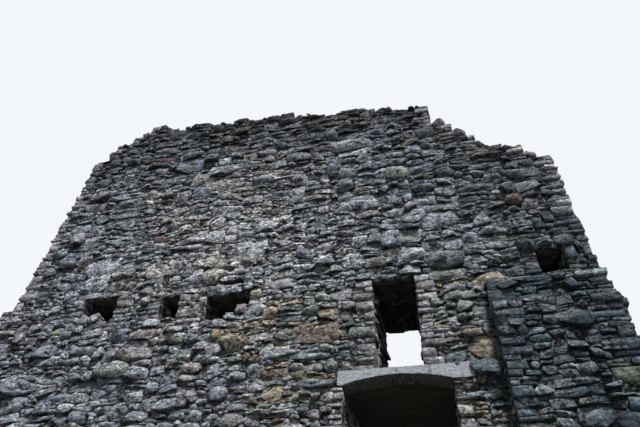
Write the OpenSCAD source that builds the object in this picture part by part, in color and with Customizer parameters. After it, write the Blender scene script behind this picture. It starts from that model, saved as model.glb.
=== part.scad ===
// Ruined castle keep: four rubble walls round one room on a vaulted base.
// The front carries the raised doorway and stands highest at its left end.
// Millimetres, +Z up, front towards -Y, origin on the ground under the middle.

/* [Plan] */
// Outside width of the keep, left to right
keep_w = 10000; // [9600:100:12000]
// Outside depth of the keep, front to back
keep_d = 10000; // [9000:100:12000]
// Thickness of the walls below the ledge of the lost upper floor
wall_t = 1500; // [1200:50:1800]
// Width of the ledge that carried the upper floor
ledge_w = 250; // [150:25:350]

/* [Levels] */
// Height of the top of the base walls, at the underside of the door sill
base_h = 2650; // [2400:50:2900]
// Height of the walling between the highest window slab and the ledge of the upper floor
ledge_over = 160; // [120:10:600]
// Height of the highest remaining stones above that ledge
head_h = 5140; // [4600:20:5400]
// Length of the stones that break the wall heads into steps
step_l = 385; // [300:5:600]
// Height of the courses that break the wall heads into steps
course_h = 130; // [90:10:200]

/* [Doorway] */
// Distance of the doorway's left jamb from the middle of the front
door_x = 1300; // [1000:10:1400]
// Clear width of the doorway
door_w = 1480; // [1200:10:1550]
// Height of the jambs above the sill stone
door_h = 2090; // [1900:10:2150]
// Thickness of the sill stone
sill_h = 150; // [100:10:200]
// How far the sill stone stands out of the wall
sill_out = 60; // [0:5:120]
// Rise of the shallow arch cut in the lintel stones
arch_rise = 110; // [60:5:140]
// Height of the lintel stones at the jambs
lintel_h = 216; // [190:2:260]
// Depth of the lintel stones into the wall
lintel_d = 280; // [200:10:350]
// Bearing of the lintel on the left jamb
lintel_left = 70; // [50:5:150]
// Bearing of the lintel on the right jamb
lintel_right = 270; // [150:5:300]
// Number of slabs that roof the passage behind the lintel
soffit_slabs = 5; // [3:1:8]
// Open joint between the roof slabs and between floor flags
joint = 10; // [6:1:20]

/* [Windows] */
// Distance of the front window's left jamb from the middle of the front
window_x = 1750; // [1700:10:1850]
// Clear width of the tall windows
window_w = 666; // [500:2:750]
// Clear height of the tall windows above the lintel course
window_h = 1514; // [1300:2:1600]
// Thickness of the slabs that close the windows
slab_h = 140; // [100:10:180]
// Bearing of those slabs on the stones beside the windows
slab_bearing = 110; // [60:10:160]
// Height above the ground of the sills of the small windows
loop_sill = 6300; // [6250:10:6600]
// How far the lowest sill of the front lies below that
loop_drop = 130; // [60:10:200]
// Least height of that row's walling below the heads of the tall windows
row_under = 450; // [300:10:600]
// Clear height of the highest small window of the front
loop_tall = 600; // [500:10:700]
// Width of the small windows of the unseen sides
loop_w = 400; // [300:10:500]
// Height of the small windows of the unseen sides
loop_h = 460; // [350:10:500]
// Distance of the beam hole at the right end of the front from the corner
hole_in = 350; // [300:10:450]
// Width of that beam hole
hole_w = 410; // [300:10:480]
// Depth of that beam hole, which goes into the corner and not through it
hole_d = 900; // [500:50:1100]
// Depth of the niche over the third small window
niche_d = 220; // [100:10:400]
// Distance of those small windows from the middle of their wall
loop_x = 2200; // [1800:50:2400]
// Width of the slit that airs the vaulted base
vent_w = 160; // [120:10:220]
// Height of that slit's sill above the springing of the vault
vent_sill = 100; // [50:10:300]
// Clear height of that slit
vent_h = 620; // [400:10:800]

/* [Corner piers and curtain walls] */
// Width of the pier that was built against the corner
corner_w = 1570; // [1300:10:1700]
// How far that pier stands out of the wall
corner_out = 200; // [120:10:300]
// Height of the set-off of that pier
corner_h = 5900; // [5500:50:6050]
// Height from the set-off to the top of that pier
corner_top = 420; // [300:10:460]
// How far the broken curtain walls still reach out from the keep
curtain_out = 900; // [700:20:1000]
// Thickness of the curtain walls
curtain_t = 1200; // [900:50:1300]
// Distance of their face behind the front of the keep
curtain_back = 200; // [100:10:400]
// Height of the left curtain wall
left_curtain_h = 7000; // [6500:50:7150]
// Height of the right curtain wall
right_curtain_h = 6600; // [6000:50:7000]
// Height of the courses that break the ends of the curtain walls into steps
curtain_course = 275; // [200:5:400]

/* [Vault and floor] */
// Thickness of the vault's side walls
vault_side = 250; // [200:10:350]
// Height where the vault springs
vault_spring = 700; // [500:20:900]
// Rise of the vault from there to its crown
vault_rise = 1600; // [1400:20:1700]
// Half width of the crown part of the vault
crown_half = 1200; // [900:50:1500]
// Thickness of the floor flags
flag_t = 120; // [80:10:150]
// Length of a floor flag
flag_l = 1400; // [900:50:1600]
// Width of a floor flag
flag_w = 1000; // [700:50:1200]

/* [Hidden] */
// Facets of the flat arcs of the doorway and the vault
$fn = 720;

// Finishes, as a plain view shows them
wall_colour = [0.47, 0.47, 0.46];
weathered_colour = [0.38, 0.38, 0.37];
pier_colour = [0.30, 0.32, 0.33];
dressed_colour = [0.62, 0.63, 0.64];
slab_colour = [0.34, 0.34, 0.30];

// Half sizes and derived levels
half_w = keep_w / 2;
half_d = keep_d / 2;
room_w = keep_w - 2 * wall_t;
room_d = keep_d - 2 * wall_t;
top_t = wall_t - ledge_w;
door_end = door_x + door_w;
floor_z = base_h + sill_h;
head_z = floor_z + door_h;
over_z = head_z + lintel_h;
window_end = window_x + window_w;
window_head = over_z + window_h;
low_sill = loop_sill - loop_drop;
pier_z = min(low_sill, window_head - row_under);
ledge_z = max(loop_sill + loop_tall, window_head) + slab_h + ledge_over;

// Heights over the small windows' sill: the first's own sill, the third's head, the beam
// hole's sill, and the niche's sill and head
first_sill = loop_sill + 50;
third_head = loop_sill + 390;
hole_sill = loop_sill + 140;
niche_sill = loop_sill + 550;
niche_head = loop_sill + 670;

// Front openings above the doorway, from left to right: left, right, sill and head
front_openings = [
    [-3480, -2810, first_sill, loop_sill + loop_tall],
    [-1930, -1560, loop_sill, loop_sill + loop_h],
    [-1100, -270, low_sill, third_head],
    [window_x, window_end, pier_z, window_head],
    [half_w - hole_in - hole_w, half_w - hole_in, hole_sill, loop_sill + loop_tall]
];

// Stones that still lie on the broken sills of the first and third: left, right, bottom, top
first_stone = 180;
third_stone_low = 100;
third_stone_high = 240;
sill_stones = [
    [-3480, -3100, first_sill, first_sill + first_stone],
    [-700, -270, low_sill, low_sill + third_stone_low],
    [-500, -270, low_sill, low_sill + third_stone_high]
];

// Shallow niche in the walling over the third: left, right, bottom, top
niche = [-850, -460, niche_sill, niche_head];

// Openings of an unseen side: a tall window between two small ones
side_openings = [
    [-loop_x - loop_w / 2, -loop_x + loop_w / 2, loop_sill, loop_sill + loop_h],
    [-window_w / 2, window_w / 2, over_z, window_head],
    [loop_x - loop_w / 2, loop_x + loop_w / 2, loop_sill, loop_sill + loop_h]
];

// Broken wall heads: place along the wall as a share of its length from the middle, height
// over the ledge as a share of the highest stones
front_head = [
    [-0.500, 0.77], [-0.475, 0.82], [-0.445, 0.88], [-0.411, 0.93], [-0.392, 0.99],
    [-0.365, 1.00], [-0.302, 0.95], [-0.164, 0.92], [-0.034, 0.895], [0.090, 0.82],
    [0.117, 0.85], [0.159, 0.805], [0.249, 0.80], [0.291, 0.76], [0.308, 0.695],
    [0.344, 0.60], [0.382, 0.505], [0.421, 0.44], [0.457, 0.38], [0.490, 0.375], [0.5, 0.32]
];
right_head = [[-0.5, 0.29], [-0.3, 0.37], [-0.1, 0.25], [0.1, 0.18], [0.3, 0.23], [0.5, 0.33]];
back_head = [[-0.5, 0.35], [-0.3, 0.29], [-0.1, 0.34], [0.1, 0.39], [0.3, 0.45], [0.5, 0.56]];
left_head = [[-0.5, 0.53], [-0.3, 0.45], [-0.1, 0.53], [0.1, 0.64], [0.3, 0.68], [0.5, 0.76]];

// Leaves of a rubble wall: share of the thickness where each starts and ends, how many
// courses it has lost below the face, and a seed for its steps
leaves = [[0, 0.34, 0, 11], [0.34, 0.68, 2, 23], [0.68, 1, 0.7, 37]];
step_noise = 0.85 * course_h;

// How far the broken curtain walls reach, as a share of their reach at each share of height
left_reach = [[0, 1], [0.36, 0.92], [0.71, 0.8], [0.91, 0.72], [1, 0.45]];
right_reach = [[0, 1], [0.38, 0.62], [0.70, 0.3], [0.83, 0.2], [0.91, 0.22], [1, 0.08]];
curtain_noise = 0.05;
least_reach = 0.06;
left_seed = 5;
right_seed = 8;

// Raises an outline drawn as run and height into a slab between two depths of a wall
module raised(from, to) {
    translate([0, to, 0]) rotate([90, 0, 0]) linear_extrude(to - from) children();
}

// Stands a wall's own frame on its side of the keep; run goes right seen from outside
module on_side(turn, half) {
    rotate([0, 0, turn]) translate([0, -half, 0]) children();
}
module on_front() { on_side(0, half_d) children(); }
module on_right() { on_side(90, half_w) children(); }
module on_back() { on_side(180, half_d) children(); }
module on_left() { on_side(270, half_w) children(); }

// Plain outline between two runs and two heights
module panel(x0, x1, z0, z1) {
    translate([x0, z0]) square([x1 - x0, z1 - z0]);
}

// Outline of one pier between two openings, notched for the slabs that bear on it
function pier_outline(x0, x1, left_head_z, right_head_z, z0, z1) = [
    [x0, z0], [x1, z0], [x1, right_head_z],
    [x1 - slab_bearing, right_head_z], [x1 - slab_bearing, z1],
    [x0 + slab_bearing, z1], [x0 + slab_bearing, left_head_z], [x0, left_head_z]
];

// End pier, notched on one side only
function left_pier_outline(x0, x1, head, z0, z1) = [
    [x0, z0], [x1, z0], [x1, head], [x1 - slab_bearing, head], [x1 - slab_bearing, z1], [x0, z1]
];
function right_pier_outline(x0, x1, head, z0, z1) = [
    [x0, z0], [x1, z0], [x1, z1], [x0 + slab_bearing, z1], [x0 + slab_bearing, head], [x0, head]
];

// All the piers beside and between a row of openings
module window_piers(openings, run, z0) {
    last = len(openings) - 1;
    raised(0, wall_t) {
        polygon(left_pier_outline(-run / 2, openings[0][0], openings[0][3], z0, ledge_z));
        for (i = [0 : last - 1])
            polygon(pier_outline(openings[i][1], openings[i + 1][0],
                openings[i][3], openings[i + 1][3], z0, ledge_z));
        polygon(right_pier_outline(openings[last][1], run / 2, openings[last][3], z0, ledge_z));
    }
}

// Slabs over the openings of a row
module window_lintels(openings) {
    raised(0, wall_t)
        for (o = openings)
            panel(o[0] - slab_bearing, o[1] + slab_bearing, o[3], o[3] + slab_h);
}

// Walling below the sills and above the slabs of a row
module window_fill(openings, z0) {
    raised(0, wall_t)
        for (o = openings) {
            if (o[2] > z0) panel(o[0], o[1], z0, o[2]);
            panel(o[0] - slab_bearing, o[1] + slab_bearing, o[3] + slab_h, ledge_z);
        }
}

// Steps of a broken wall head, as heights of whole courses for each stone of the run
function head_steps(head, count, drop, seed) =
    let (noise = rands(-step_noise, step_noise, count, seed))
    [for (i = [0 : count - 1])
        ledge_z + course_h * round((head_h * lookup((i + 0.5) / count - 0.5, head)
            + noise[i]) / course_h - drop)];

// Outline of the stones first to last - 1 of a broken wall head
function head_outline(steps, run, first, last) =
    let (n = len(steps), l = run / n)
    [for (i = [first : last])
        each (i == first ? [[i * l - run / 2, ledge_z], [i * l - run / 2, steps[i]]]
            : i == last ? [[i * l - run / 2, steps[i - 1]], [i * l - run / 2, ledge_z]]
            : steps[i] != steps[i - 1]
                ? [[i * l - run / 2, steps[i - 1]], [i * l - run / 2, steps[i]]]
            : [])];

// Upper wall with its outer face, core and inner face broken at their own heights
module broken_wall(head, run, from_share, to_share) {
    count = round(run / step_l);
    for (leaf = leaves)
        raised(leaf[0] * top_t, leaf[1] * top_t)
            polygon(head_outline(head_steps(head, count, leaf[2], leaf[3]), run,
                round(from_share * count), round(to_share * count)));
}

// Outline of a curtain wall's stump: stepped courses that reach out from the keep
module torn_outline(reach, height, seed) {
    count = round(height / curtain_course);
    noise = rands(-curtain_noise, curtain_noise, count, seed);
    l = height / count;
    steps = [for (k = [0 : count - 1])
        curtain_out * min(1, max(least_reach,
            lookup((k + 0.5) / count, reach) + (k == 0 ? 1 : noise[k])))];
    polygon(concat([[0, 0]],
        [for (k = [0 : count - 1]) each [[steps[k], k * l], [steps[k], (k + 1) * l]]],
        [[0, height]]));
}

// Front wall
module front_wall_base() { color(wall_colour) on_front() base_wall(keep_w); }
module front_wall_left() {
    bearing_x = door_x - lintel_left;
    color(wall_colour) on_front() raised(0, wall_t)
        polygon([[-half_w, base_h], [door_x, base_h], [door_x, head_z],
            [bearing_x, head_z], [bearing_x, over_z], [-half_w, over_z]]);
}
module front_wall_right() {
    bearing_x = door_end + lintel_right;
    color(wall_colour) on_front() raised(0, wall_t)
        polygon([[door_end, base_h], [half_w, base_h], [half_w, over_z],
            [bearing_x, over_z], [bearing_x, head_z], [door_end, head_z]]);
}
module front_wall_over_door_left() {
    color(wall_colour) on_front() raised(0, wall_t) panel(-half_w, window_x, over_z, pier_z);
}
module front_wall_over_door_right() {
    color(wall_colour) on_front() raised(0, wall_t) panel(window_end, half_w, over_z, pier_z);
}
module front_window_piers() {
    color(wall_colour) on_front() window_piers(front_openings, keep_w, pier_z);
}
module front_window_lintels() {
    color(slab_colour) on_front() window_lintels(front_openings);
}
module front_window_fill() {
    color(wall_colour) on_front() difference() {
        union() {
            window_fill(front_openings, pier_z);
            raised(0, wall_t) for (o = sill_stones) panel(o[0], o[1], o[2], o[3]);
        }
        raised(-1, niche_d) panel(niche[0], niche[1], niche[2], niche[3]);
    }
}

// Masonry that closes the beam hole at its inner end
module beam_hole_back() {
    hole = front_openings[len(front_openings) - 1];
    color(pier_colour) on_front() raised(hole_d, wall_t) panel(hole[0], hole[1], hole[2], hole[3]);
}

module front_wall_top_left() {
    color(weathered_colour) on_front() broken_wall(front_head, keep_w, 0, 0.5);
}
module front_wall_top_right() {
    color(weathered_colour) on_front() broken_wall(front_head, keep_w, 0.5, 1);
}

// Doorway: sill, four arched lintel stones and the slabs of the passage behind them
module door_sill() {
    color(dressed_colour) on_front() raised(-sill_out, wall_t)
        panel(door_x, door_end, base_h, floor_z);
}
arch_r = (door_w * door_w / 4 + arch_rise * arch_rise) / (2 * arch_rise);
lintel_x0 = door_x - lintel_left;
lintel_x1 = door_end + lintel_right;
lintel_joints = [lintel_x0, door_x + 0.2 * door_w, door_x + 0.5 * door_w,
    door_x + 0.8 * door_w, lintel_x1];

// One lintel stone between joints i and i + 1, cut by the arch over the doorway
module lintel_stone(i) {
    on_front() raised(0, lintel_d) difference() {
        panel(lintel_joints[i], lintel_joints[i + 1], head_z, over_z);
        translate([door_x + door_w / 2, head_z + arch_rise - arch_r]) circle(arch_r);
    }
}
module door_lintel_left() { color(dressed_colour) lintel_stone(0); }
module door_lintel_middle_left() { color(dressed_colour) lintel_stone(1); }
module door_lintel_middle_right() { color(dressed_colour) lintel_stone(2); }
module door_lintel_right() { color(dressed_colour) lintel_stone(3); }
module door_roof_slabs() {
    depth = (wall_t - lintel_d) / soffit_slabs;
    color(slab_colour) on_front()
        for (i = [0 : soffit_slabs - 1])
            raised(lintel_d + i * depth + (i > 0 ? joint : 0), lintel_d + (i + 1) * depth)
                panel(lintel_x0, lintel_x1, head_z, over_z);
}

// Plain walling of the base and of the storey above it
module base_wall(run) {
    raised(0, wall_t) panel(-run / 2, run / 2, 0, base_h);
}
module storey_wall(run) {
    raised(0, wall_t) panel(-run / 2, run / 2, base_h, over_z);
}

// Left wall, between the front and back walls
module left_wall_base() { color(wall_colour) on_left() base_wall(room_d); }
module left_wall_storey() { color(wall_colour) on_left() storey_wall(room_d); }
module left_window_piers() { color(wall_colour) on_left() window_piers(side_openings, room_d, over_z); }
module left_window_lintels() { color(slab_colour) on_left() window_lintels(side_openings); }
module left_window_fill() { color(wall_colour) on_left() window_fill(side_openings, over_z); }
module left_wall_top() {
    color(weathered_colour) on_left() broken_wall(left_head, keep_d - 2 * top_t, 0, 1);
}

// Right wall, between the front and back walls
module right_wall_base() { color(wall_colour) on_right() base_wall(room_d); }
module right_wall_storey() { color(wall_colour) on_right() storey_wall(room_d); }
module right_window_piers() { color(wall_colour) on_right() window_piers(side_openings, room_d, over_z); }
module right_window_lintels() { color(slab_colour) on_right() window_lintels(side_openings); }
module right_window_fill() { color(wall_colour) on_right() window_fill(side_openings, over_z); }
module right_wall_top() {
    color(weathered_colour) on_right() broken_wall(right_head, keep_d - 2 * top_t, 0, 1);
}

// Back wall
module back_wall_base() {
    color(wall_colour) on_back() difference() {
        base_wall(keep_w);
        raised(-1, wall_t + 1)
            panel(-vent_w / 2, vent_w / 2, vault_spring + vent_sill, vault_spring + vent_sill + vent_h);
    }
}
module back_wall_storey() { color(wall_colour) on_back() storey_wall(keep_w); }
module back_window_piers() { color(wall_colour) on_back() window_piers(side_openings, keep_w, over_z); }
module back_window_lintels() { color(slab_colour) on_back() window_lintels(side_openings); }
module back_window_fill() { color(wall_colour) on_back() window_fill(side_openings, over_z); }
module back_wall_top() { color(weathered_colour) on_back() broken_wall(back_head, keep_w, 0, 1); }

// Corner pier with one set-off below its top
module corner_pier() {
    raised(-corner_out, 0) panel(half_w - corner_w, half_w, 0, corner_h);
    raised(-corner_out / 2, 0) panel(half_w - corner_w, half_w, corner_h, corner_h + corner_top);
}
module front_corner_pier() { color(pier_colour) on_front() corner_pier(); }
module back_corner_pier() { color(pier_colour) on_back() corner_pier(); }

// Stumps of the curtain walls that joined the keep beside its front
module left_curtain_wall() {
    color(wall_colour) on_front() mirror([1, 0, 0]) translate([half_w, 0, 0])
        raised(curtain_back, curtain_back + curtain_t) torn_outline(left_reach, left_curtain_h, left_seed);
}
module right_curtain_wall() {
    color(pier_colour) on_front() translate([half_w, 0, 0])
        raised(curtain_back, curtain_back + curtain_t)
            torn_outline(right_reach, right_curtain_h, right_seed);
}

// Barrel vault over the base, with its haunches filled up to the floor
vault_half = room_w / 2 - vault_side;
vault_r = (vault_half * vault_half + vault_rise * vault_rise) / (2 * vault_rise);
vault_top = floor_z - flag_t;

module vault_part(x0, x1) {
    translate([0, room_d / 2, 0]) rotate([90, 0, 0]) linear_extrude(room_d) difference() {
        panel(x0, x1, 0, vault_top);
        panel(-vault_half, vault_half, -1, vault_spring);
        intersection() {
            translate([0, vault_spring + vault_rise - vault_r]) circle(vault_r);
            panel(-vault_half, vault_half, vault_spring - 1, vault_top);
        }
    }
}
module vault_left_haunch() { color(wall_colour) vault_part(-room_w / 2, -crown_half); }
module vault_crown() { color(wall_colour) vault_part(-crown_half, crown_half); }
module vault_right_haunch() { color(wall_colour) vault_part(crown_half, room_w / 2); }

// Floor flags in rows across the room, every second row shifted by half a flag
module floor_flags() {
    rows = round(room_d / flag_w);
    row_w = room_d / rows;
    count = round(room_w / flag_l);
    l = room_w / count;
    color(slab_colour)
        for (row = [0 : rows - 1])
            for (i = [0 : row % 2 == 0 ? count - 1 : count]) {
                shift = row % 2 == 0 ? 0 : l / 2;
                x0 = max(0, i * l - shift);
                x1 = min(room_w, (i + 1) * l - shift);
                translate([x0 - room_w / 2, row * row_w - room_d / 2, vault_top])
                    cube([x1 - x0 - (x1 < room_w ? joint : 0),
                        row_w - (row < rows - 1 ? joint : 0), flag_t]);
            }
}

front_wall_base();
front_wall_left();
front_wall_right();
front_wall_over_door_left();
front_wall_over_door_right();
front_window_piers();
front_window_lintels();
front_window_fill();
front_wall_top_left();
front_wall_top_right();
door_sill();
door_lintel_left();
door_lintel_middle_left();
door_lintel_middle_right();
door_lintel_right();
door_roof_slabs();
beam_hole_back();
left_wall_base();
left_wall_storey();
left_window_piers();
left_window_lintels();
left_window_fill();
left_wall_top();
right_wall_base();
right_wall_storey();
right_window_piers();
right_window_lintels();
right_window_fill();
right_wall_top();
back_wall_base();
back_wall_storey();
back_window_piers();
back_window_lintels();
back_window_fill();
back_wall_top();
front_corner_pier();
back_corner_pier();
left_curtain_wall();
right_curtain_wall();
vault_left_haunch();
vault_crown();
vault_right_haunch();
floor_flags();
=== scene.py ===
"""Masonry and finish of a ruined castle keep, laid stone by stone over its walls."""

import functools
import itertools
import math

import bmesh
import bpy
import numpy as np
from mathutils import Matrix, Vector
from mathutils.kdtree import KDTree


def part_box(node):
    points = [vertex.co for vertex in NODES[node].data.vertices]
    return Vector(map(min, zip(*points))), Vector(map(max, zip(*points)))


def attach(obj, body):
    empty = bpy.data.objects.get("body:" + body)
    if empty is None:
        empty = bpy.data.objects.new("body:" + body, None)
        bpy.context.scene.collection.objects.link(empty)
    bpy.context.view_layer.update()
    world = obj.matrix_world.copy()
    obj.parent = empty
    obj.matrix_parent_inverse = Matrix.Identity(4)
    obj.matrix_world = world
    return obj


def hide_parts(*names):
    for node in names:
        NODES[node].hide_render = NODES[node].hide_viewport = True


bl_info = {
    "name": "Castle Keep Masonry",
    "version": (1, 0, 0),
    "blender": (4, 5, 0),
    "location": "View3D > Sidebar > Keep",
    "description": "Lays rubble, quoins, slabs and dressed stones over the walls of a ruined keep",
    "category": "Object",
}

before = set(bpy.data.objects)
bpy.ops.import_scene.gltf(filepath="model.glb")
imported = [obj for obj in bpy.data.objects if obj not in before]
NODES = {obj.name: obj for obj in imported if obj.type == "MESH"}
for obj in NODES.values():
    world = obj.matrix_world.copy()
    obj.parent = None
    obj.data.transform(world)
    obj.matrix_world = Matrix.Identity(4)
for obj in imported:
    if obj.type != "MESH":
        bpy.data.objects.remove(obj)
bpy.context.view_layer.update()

# Grid on which the stones of every wall face are laid out: size of its cells, half its
# width, and its cells across and upward
CELL = 0.02
REACH = 6.2
ACROSS = int(2 * REACH / CELL)
UPWARD = int(12.8 / CELL)

# Levels and places of the keep, read from its own solids
WALL_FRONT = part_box("front_wall_base")[0].y
WALL_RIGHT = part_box("front_wall_base")[1].x
FLOOR_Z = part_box("floor_flags")[1].z
LEDGE_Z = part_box("front_window_piers")[1].z
PIER_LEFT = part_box("front_corner_pier")[0].x

# Faces nearer to the middle than the first look into the room, those along the front that
# are farther out than the second are outside it
ROOM_SIDE = WALL_RIGHT - 1.4
OUTER_SIDE = 3.79

# Height up to which the stones beside the doorway are of their own kind
BESIDE_DOOR_Z = 6.6

# Upright faces larger than this are the room's or the stumps', the rest are in openings
ROOM_AREA = 8

# Each face is known by the axis that it looks along, its sign and its place on it
FRONT = (1, -1, round(WALL_FRONT, 3))

# Depth to which stones reach behind the face of their wall
FOOT = 0.03


def linear(red, green, blue):
    """A screen colour from 0 to 255 as the linear values that shaders use."""
    return tuple(share / 12.92 if share <= 0.04045 else ((share + 0.055) / 1.055) ** 2.4
                 for share in (red / 255, green / 255, blue / 255))


# Stones of each kind of walling: share of the stones, then their colour on screen
PALETTES = {
    "field": ((0.28, 154, 154, 158), (0.25, 141, 142, 146), (0.14, 126, 128, 133),
              (0.10, 157, 154, 153), (0.06, 147, 141, 137), (0.05, 148, 147, 139),
              (0.05, 172, 173, 175), (0.03, 115, 121, 122), (0.02, 103, 108, 114),
              (0.012, 108, 95, 89)),
    "door": ((0.26, 144, 146, 147), (0.22, 122, 130, 125), (0.16, 140, 132, 116),
             (0.16, 108, 118, 122), (0.10, 154, 154, 156), (0.05, 146, 135, 114),
             (0.05, 120, 108, 98)),
    "slate": ((0.30, 70, 84, 94), (0.24, 55, 69, 74), (0.18, 90, 104, 112),
              (0.18, 49, 60, 70), (0.05, 130, 141, 147), (0.05, 78, 84, 74)),
}

# How much stronger than written the colours of a palette are
RICHNESS = {"field": 1.3, "door": 1.3, "slate": 1.1}

# What settings of one kind have in common
LENGTH = {"subtype": "DISTANCE", "unit": "LENGTH"}
COLOUR = {"subtype": "COLOR", "min": 0.0, "max": 1.0}


class Keep_Stones(bpy.types.PropertyGroup):
    """Sizes of the stones and joints."""
    face_height: bpy.props.FloatProperty(
        name="Front stone height", description="Typical height of a stone in the front wall",
        default=0.165, min=0.05, max=0.3, **LENGTH)
    plain_height: bpy.props.FloatProperty(
        name="Other stone height", description="Typical height of a stone in the other walls",
        default=0.195, min=0.08, max=0.4, **LENGTH)
    joint: bpy.props.FloatProperty(
        name="Joint", description="Typical width of the washed out joints",
        default=0.016, min=0.004, max=0.05, **LENGTH)
    proud: bpy.props.FloatProperty(
        name="Proud", description="How far a typical stone stands out of the mortar",
        default=0.045, min=0.01, max=0.1, **LENGTH)
    seed: bpy.props.IntProperty(
        name="Seed", description="Number from which all the chance in the walls is drawn",
        default=7)


class Keep_Finish(bpy.types.PropertyGroup):
    """Colours of the mortar, dressed stone, slabs and growth."""
    mortar: bpy.props.FloatVectorProperty(
        name="Mortar", description="Colour of the washed out lime mortar",
        default=linear(126, 127, 130), **COLOUR)
    lichen: bpy.props.FloatVectorProperty(
        name="Lichen", description="Colour of the pale lichen on the stones",
        default=linear(176, 180, 176), **COLOUR)
    dressed: bpy.props.FloatVectorProperty(
        name="Dressed stone", description="Colour of the lintel stones",
        default=linear(178, 182, 190), **COLOUR)
    # The slabs' undersides take this colour: a dark green-brown film, darkened further as painted
    # shade in the soffits
    slab: bpy.props.FloatVectorProperty(
        name="Slabs", description="Colour of the split slabs over the openings",
        default=linear(42, 43, 34), **COLOUR)
    moss: bpy.props.FloatVectorProperty(
        name="Moss", description="Colour of the thin moss on the wall heads",
        default=linear(58, 60, 44), **COLOUR)


class Keep_Stage(bpy.types.PropertyGroup):
    """Place of the camera and strength of the light."""
    camera_x: bpy.props.FloatProperty(
        name="Camera to the right", description="Camera's distance to the right of the middle",
        default=2.69, **LENGTH)
    camera_away: bpy.props.FloatProperty(
        name="Camera away", description="Camera's distance in front of the front wall",
        default=6.39, min=1.0, **LENGTH)
    eye_height: bpy.props.FloatProperty(
        name="Eye height", description="Camera's height above the ground",
        default=1.6, min=0.1, **LENGTH)
    lens: bpy.props.FloatProperty(
        name="Lens", description="Focal length for a sensor 36 mm wide",
        default=28.69, min=10.0, subtype="DISTANCE_CAMERA", unit="CAMERA")
    sky: bpy.props.FloatProperty(
        name="Sky", description="Strength of the even light from all around",
        default=0.17, min=0.0)
    sun: bpy.props.FloatProperty(
        name="Soft lamp", description="Strength of the soft lamp from the upper right",
        default=5.3, min=0.0)
    back: bpy.props.FloatProperty(
        name="Back lamp", description="Strength of the soft lamp behind the keep",
        default=2.6, min=0.0)


class Wire:
    """A shader socket whose arithmetic adds Math nodes."""

    def __init__(self, shader, socket):
        self.shader = shader
        self.socket = socket

    def math(self, operation, *values):
        """The result of a Math node."""
        return self.shader.node("ShaderNodeMath", {"operation": operation},
                                dict(enumerate(values)))

    def __add__(self, other):
        return self.math("ADD", self, other)

    def __radd__(self, other):
        return self.math("ADD", other, self)

    def __sub__(self, other):
        return self.math("SUBTRACT", self, other)

    def __rsub__(self, other):
        return self.math("SUBTRACT", other, self)

    def __mul__(self, other):
        return self.math("MULTIPLY", self, other)

    def __rmul__(self, other):
        return self.math("MULTIPLY", other, self)

    def __abs__(self):
        return self.math("ABSOLUTE", self)

    def least(self, value):
        """This one, but never below the value."""
        return self.math("MAXIMUM", self, value)

    def step(self, low, high):
        """0 below low, 1 above high and smooth between them."""
        return self.shader.node(
            "ShaderNodeMapRange", {"interpolation_type": "SMOOTHSTEP"},
            {"Value": self, "From Min": low, "From Max": high})


class Shader:
    """The node tree of a material or a world, built from calls."""

    def __init__(self, owner):
        owner.use_nodes = True
        self.owner = owner
        self.tree = owner.node_tree
        self.tree.nodes.clear()

    def node(self, kind, settings=None, values=None, output=0):
        """Adds a node, sets it, feeds its sockets and returns one of its outputs."""
        made = self.tree.nodes.new(kind)
        for key, value in (settings or {}).items():
            setattr(made, key, value)
        for key, value in (values or {}).items():
            if isinstance(value, Wire):
                self.tree.links.new(value.socket, made.inputs[key])
            else:
                made.inputs[key].default_value = value
        return Wire(self, made.outputs[output]) if len(made.outputs) else None

    @functools.cached_property
    def place(self):
        """The place on the keep."""
        return self.node("ShaderNodeTexCoord", {}, {}, "Object")

    def carried(self, name, output):
        """A value that the stones carry."""
        return self.node("ShaderNodeAttribute", {"attribute_name": name}, {}, output)

    def part(self, vector, index):
        """One coordinate of a place, or one part of a colour."""
        return self.node("ShaderNodeSeparateXYZ", {}, {0: vector}, index)

    def stretched(self, vector, by):
        """A place multiplied along each axis: what reads it is drawn out where by is small."""
        return self.node("ShaderNodeVectorMath", {"operation": "MULTIPLY"}, {0: vector, 1: by})

    def noise(self, scale, detail=4.0, roughness=0.55, stretch=(1.0, 1.0, 1.0), distortion=0.0):
        """Cloudy value from 0 to 1, its clouds drawn out where stretch is small."""
        return self.node("ShaderNodeTexNoise", {}, {
            "Vector": self.stretched(self.place, stretch), "Scale": scale, "Detail": detail,
            "Roughness": roughness, "Distortion": distortion})

    def cells(self, place, output, scale=1.0, **settings):
        """Irregular cells, each with its own colour."""
        return self.node("ShaderNodeTexVoronoi", settings, {"Vector": place, "Scale": scale},
                         output)

    def scaled(self, colour, value):
        """A colour made lighter or darker by a value."""
        return self.node("ShaderNodeVectorMath", {"operation": "SCALE"},
                         {0: colour, "Scale": value})

    def blend(self, share, first, second):
        """The first colour, and by a share from 0 to 1 the second one."""
        first, second = (colour if isinstance(colour, Wire) else (*colour, 1.0)
                         for colour in (first, second))
        return self.node("ShaderNodeMix", {"data_type": "RGBA"},
                         {"Factor": share, 6: first, 7: second}, 2)

    def lime(self):
        """1 where the lime mortar has held, in the joints and as a crust on the stones."""
        return self.noise(7.0, 4.0, 0.6, (1.0, 1.0, 1.8)).step(0.46, 0.55)

    def seen_directly(self):
        """1 for what the camera, a mirror or glass sees, and else 0."""
        camera, gloss, glass = (self.node("ShaderNodeLightPath", {}, {}, f"Is {kind} Ray")
                                for kind in ("Camera", "Glossy", "Transmission"))
        return camera.least(gloss).least(glass)

    def finish(self, colour, roughness, height, depth):
        """Closes the tree with one rough surface and its bump, and returns the material."""
        bump = self.node("ShaderNodeBump", {}, {"Distance": depth, "Height": height})
        surface = self.node("ShaderNodeBsdfPrincipled", {}, {
            "Base Color": colour, "Roughness": roughness, "Normal": bump,
            "Specular IOR Level": 0.25})
        self.node("ShaderNodeOutputMaterial", {}, {"Surface": surface})
        return self.owner


def new_finish(name):
    """The empty tree of a new material, and the colours of the keep."""
    return Shader(bpy.data.materials.new(name)), bpy.context.scene.keep_finish


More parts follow.
